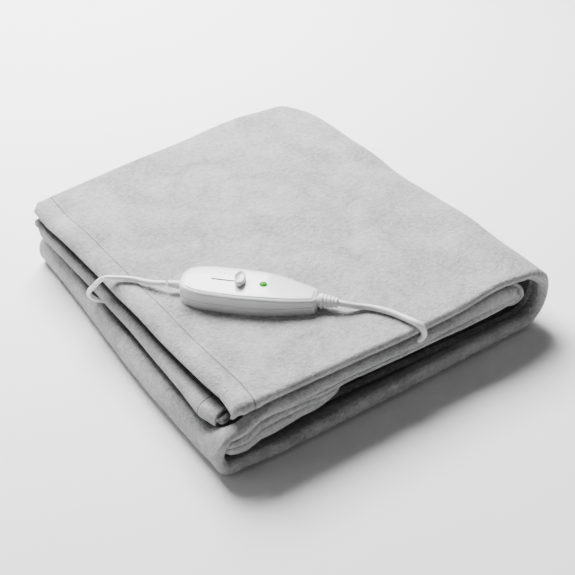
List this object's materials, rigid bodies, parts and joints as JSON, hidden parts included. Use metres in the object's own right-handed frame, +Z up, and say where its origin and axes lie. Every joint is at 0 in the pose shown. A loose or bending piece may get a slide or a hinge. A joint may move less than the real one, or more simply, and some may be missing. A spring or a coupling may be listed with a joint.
{
  "type": "folded electric heated blanket",
  "caption": "Fleece electric heated blanket folded into a flat pack, with an inline slider controller on top and its mains cord and lead tucked into the folds.",
  "frame": {"origin": "middle of the underside of the folded blanket, on the surface that it lies on", "axes": "+X from the open hems to the closed outer fold, +Y along the folds from front to back, +Z up"},
  "size_m": [0.4351, 0.5457, 0.1045],
  "materials": {
    "fleece": "short-pile light grey fleece, matt",
    "binding": "woven grey tape",
    "wire_jacket": "smooth silicone jacket",
    "phenolic": "dark brown moulded plastic",
    "case_white": "white satin moulded plastic",
    "cord_white": "white soft cord jacket",
    "coupling_grey": "light grey moulded plastic",
    "switch_black": "black nylon",
    "board_green": "green laminate board",
    "lens_green": "clear green lens, lit",
    "terminal_green": "green terminal plastic",
    "capacitor_amber": "moulded amber box",
    "latch_grey": "light grey moulded plastic",
    "aluminium": "plain rolled sheet",
    "steel": "zinc-plated steel",
    "plated_brass": "nickel-plated brass",
    "strap": "hook-and-loop strap, woven"
  },
  "bodies": {
    "pack": {"blanket_outer_ply": "fleece", "blanket_inner_ply": "fleece", "heating_wire": "wire_jacket", "thermal_cut_out": "phenolic", "controller_bottom_shell": "case_white", "controller_top_shell": "case_white", "screw_boss_1": "case_white", "screw_boss_2": "case_white", "case_screw_1": "steel", "case_screw_2": "steel", "circuit_board": "board_green", "slide_switch_body": "switch_black", "indicator_lens": "lens_green", "indicator_led": "lens_green", "film_capacitor": "capacitor_amber", "triac": "switch_black", "triac_heat_sink": "aluminium", "thermal_fuse": "steel", "terminal_block_mains": "terminal_green", "terminal_block_lead": "terminal_green", "mains_strain_relief": "cord_white", "lead_strain_relief": "cord_white", "coupling_plug_body": "coupling_grey", "coupling_plug_cover": "coupling_grey", "coupling_socket_body": "coupling_grey", "coupling_socket_cover": "coupling_grey", "socket_sewing_flange": "binding", "latch_spring": "steel", "latch_spring_seat": "coupling_grey", "coupling_strain_relief": "cord_white", "coupling_pin_1": "plated_brass", "coupling_pin_2": "plated_brass", "coupling_pin_3": "plated_brass", "coupling_contact_1": "plated_brass", "coupling_contact_2": "plated_brass", "coupling_contact_3": "plated_brass", "mains_cord": "cord_white", "mains_cord_tail": "cord_white", "mains_cord_coil": "cord_white", "blanket_lead": "cord_white", "cord_tie": "strap", "plug_body": "cord_white", "plug_pin_1": "plated_brass", "plug_pin_2": "plated_brass", "plug_strain_relief": "cord_white"},
    "slider": {"slider_knob": "case_white", "slider_contact_carrier": "phenolic"},
    "latch": {"coupling_latch": "latch_grey"}
  },
  "joints": [
    {"name": "knob_slide", "type": "slide", "parent": "pack", "child": "slider", "axis": [-0.7009, 0.7133, 0], "range_m": [0, 0.025]},
    {"name": "latch_press", "type": "slide", "parent": "pack", "child": "latch", "axis": [1, 0, 0], "range_m": [0, 0.0015], "stiffness_N_per_m": 1200, "springref_m": -0.0005}
  ]
}
